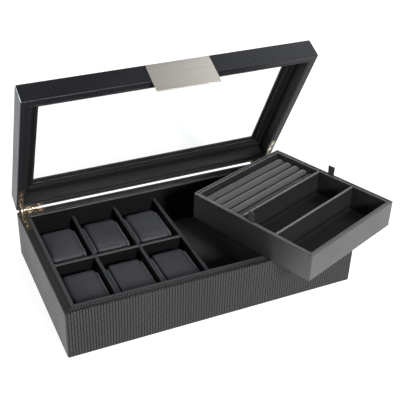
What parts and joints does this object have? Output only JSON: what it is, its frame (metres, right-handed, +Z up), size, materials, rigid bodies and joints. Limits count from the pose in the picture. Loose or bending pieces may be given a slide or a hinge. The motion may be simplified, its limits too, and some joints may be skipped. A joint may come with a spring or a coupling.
{
  "type": "watch box",
  "caption": "Wrapped box with a glass-windowed hinged lid, cushioned watch slots and a loose valet tray with ring rolls and two compartments.",
  "frame": {"origin": "centre of the box's underside, on the surface it stands on", "axes": "+Z up, -Y out of the front face with the lift plate, +X to the right seen from the front; the hinges are at +Y"},
  "size_m": [0.4152, 0.2833, 0.2638],
  "materials": {
    "wrap_base": "embossed weave leatherette, satin",
    "wrap_lid": "embossed weave leatherette, satin",
    "wrap_tray": "fine-grain leatherette, satin",
    "lining_leather": "smooth leatherette, satin",
    "divider_leather": "smooth leatherette, satin",
    "suede": "short-pile suede, matt",
    "felt": "felt, matt",
    "board": "fibre board, matt",
    "pillow_leather": "smooth leatherette, soft sheen",
    "ring_velvet": "velvet, soft sheen",
    "ribbon": "woven satin ribbon",
    "brass": "tarnished brass, satin",
    "steel": "brushed along its length",
    "glass": "clear, polished",
    "adhesive": "foam tape, matt"
  },
  "bodies": {
    "base": {"underside_felt": "felt", "base_bottom_board": "board", "base_wall_front": "wrap_base", "base_wall_rear": "wrap_base", "base_wall_left": "wrap_base", "base_wall_right": "wrap_base", "base_liner_front": "lining_leather", "base_liner_rear": "lining_leather", "base_liner_left": "lining_leather", "base_liner_right": "lining_leather", "slot_floor_lining": "suede", "bay_floor_lining": "suede", "column_divider_outer": "divider_leather", "column_divider_inner": "divider_leather", "row_divider": "divider_leather", "bay_divider": "divider_leather", "hinge_base_leaf_left": "brass", "hinge_base_leaf_right": "brass", "hinge_pin_left": "brass", "hinge_pin_right": "brass", "base_leaf_screws": "brass"},
    "lid": {"hinge_lid_leaf_left": "brass", "hinge_lid_leaf_right": "brass", "quadrant_stay_left": "brass", "quadrant_stay_right": "brass", "lid_leaf_screws": "brass", "lid_rail_front": "wrap_lid", "lid_rail_rear": "wrap_lid", "lid_rail_left": "wrap_lid", "lid_rail_right": "wrap_lid", "lid_top_frame": "wrap_lid", "lid_glass": "glass", "glass_retainer": "lining_leather", "lid_lining": "lining_leather", "front_plate": "steel", "plate_adhesive_pad": "adhesive"},
    "tray": {"tray_felt": "felt", "tray_floor": "suede", "tray_wall_front": "wrap_tray", "tray_wall_rear": "wrap_tray", "tray_wall_left": "wrap_tray", "tray_wall_right": "wrap_tray", "tray_lining": "lining_leather", "tray_divider": "divider_leather", "tray_ring_divider": "divider_leather", "ring_roll_1": "ring_velvet", "ring_roll_2": "ring_velvet", "ring_roll_3": "ring_velvet", "ring_roll_4": "ring_velvet", "ring_roll_5": "ring_velvet", "pull_tab_left": "ribbon", "pull_tab_right": "ribbon"},
    "pillow_rear_left_body": {"pillow_rear_left": "pillow_leather"},
    "pillow_rear_middle_body": {"pillow_rear_middle": "pillow_leather"},
    "pillow_rear_right_body": {"pillow_rear_right": "pillow_leather"},
    "pillow_front_left_body": {"pillow_front_left": "pillow_leather"},
    "pillow_front_middle_body": {"pillow_front_middle": "pillow_leather"},
    "pillow_front_right_body": {"pillow_front_right": "pillow_leather"}
  },
  "joints": [
    {"name": "lid_hinge", "type": "hinge", "parent": "base", "child": "lid", "pos_m": [0, 0.10665, 0.0621], "axis": [-1, 0, 0], "range_deg": [-64, 0]},
    {"name": "tray_take_away", "type": "slide", "parent": "base", "child": "tray", "axis": [1, 0, 0], "range_m": [0, 0.25]},
    {"name": "pillow_rear_left_lift", "type": "slide", "parent": "base", "child": "pillow_rear_left_body", "axis": [0, 0, 1], "range_m": [0, 0.045]},
    {"name": "pillow_rear_middle_lift", "type": "slide", "parent": "base", "child": "pillow_rear_middle_body", "axis": [0, 0, 1], "range_m": [0, 0.045]},
    {"name": "pillow_rear_right_lift", "type": "slide", "parent": "base", "child": "pillow_rear_right_body", "axis": [0, 0, 1], "range_m": [0, 0.045]},
    {"name": "pillow_front_left_lift", "type": "slide", "parent": "base", "child": "pillow_front_left_body", "axis": [0, 0, 1], "range_m": [0, 0.045]},
    {"name": "pillow_front_middle_lift", "type": "slide", "parent": "base", "child": "pillow_front_middle_body", "axis": [0, 0, 1], "range_m": [0, 0.045]},
    {"name": "pillow_front_right_lift", "type": "slide", "parent": "base", "child": "pillow_front_right_body", "axis": [0, 0, 1], "range_m": [0, 0.045]}
  ],
  "couplings": [
    {"joint": "tray_take_away", "follows": "lid_hinge", "m_per_rad": -0.22379}
  ]
}
